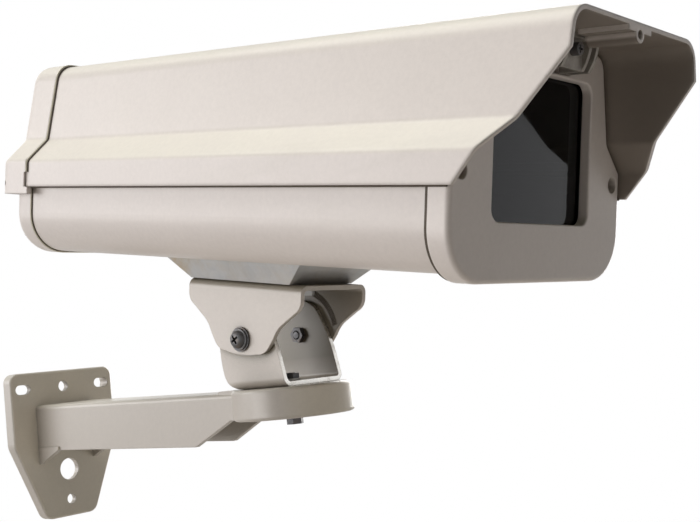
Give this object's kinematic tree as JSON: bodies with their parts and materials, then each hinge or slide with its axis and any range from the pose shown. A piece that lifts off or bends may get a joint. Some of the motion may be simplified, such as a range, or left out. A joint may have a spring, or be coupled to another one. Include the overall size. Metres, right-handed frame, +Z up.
{
  "type": "security camera housing",
  "caption": "Long outdoor camera housing with a sloped cover and visor, glazed front, hinged lid and sliding camera sled, on a wall arm with pan and tilt joints.",
  "frame": {"origin": "on the wall face of the plate, midway between its two upper slots", "axes": "+X away from the wall along the arm, +Y to the left seen from the wall, +Z up"},
  "size_m": [0.4402, 0.1506, 0.2733],
  "materials": {
    "cream_paint": "satin powder coat",
    "bracket_paint": "satin powder coat",
    "plain_aluminium": "bare",
    "zinc_plate": "zinc plated",
    "screw_steel": "dull",
    "seal_rubber": "matt",
    "window_glass": "clear",
    "black_plastic": "matt"
  },
  "bodies": {
    "wall_bracket": {"wall_arm": "bracket_paint", "pan_bolt": "screw_steel", "pan_washer": "zinc_plate", "pan_nut": "screw_steel"},
    "swivel": {"swivel_bracket": "bracket_paint", "pivot_screws": "screw_steel", "pivot_washers": "screw_steel", "pivot_nuts": "zinc_plate"},
    "housing": {"tilt_yoke": "bracket_paint", "adapter_plate": "zinc_plate", "adapter_bolts": "zinc_plate", "adapter_nuts": "zinc_plate", "lower_body": "cream_paint", "front_bezel": "cream_paint", "front_gasket": "seal_rubber", "bezel_screws": "screw_steel", "window_gasket": "seal_rubber", "window_glass": "window_glass", "glass_retainer": "plain_aluminium", "retainer_screws": "zinc_plate", "rear_cap_lower": "cream_paint", "rear_gasket": "seal_rubber", "cap_screws": "screw_steel", "gland_bodies": "black_plastic", "gland_nuts": "black_plastic", "gland_plugs": "seal_rubber", "gland_locknuts": "black_plastic", "lid_seal": "seal_rubber", "hinge_pins": "screw_steel"},
    "lid": {"upper_cover": "cream_paint", "rear_cap_upper": "cream_paint", "cover_screws": "screw_steel", "lid_catch": "plain_aluminium", "catch_screw": "screw_steel", "catch_nut": "zinc_plate"},
    "sled": {"camera_sled": "plain_aluminium", "sled_screws": "screw_steel", "camera_screw": "screw_steel"}
  },
  "joints": [
    {"name": "pan", "type": "hinge", "parent": "wall_bracket", "child": "swivel", "pos_m": [0.218, 0, -0.0119], "axis": [0, 0, 1], "range_deg": [-120, 120]},
    {"name": "tilt", "type": "hinge", "parent": "swivel", "child": "housing", "pos_m": [0.2087, 0, 0.0149], "axis": [0, 1, 0], "range_deg": [-35, 50]},
    {"name": "lid_hinge", "type": "hinge", "parent": "housing", "child": "lid", "pos_m": [0.07563, 0, 0.12], "axis": [0, -1, 0], "range_deg": [0, 65]},
    {"name": "sled_slide", "type": "slide", "parent": "housing", "child": "sled", "axis": [0.9848, 0, -0.1736], "range_m": [-0.025, 0.05]}
  ]
}
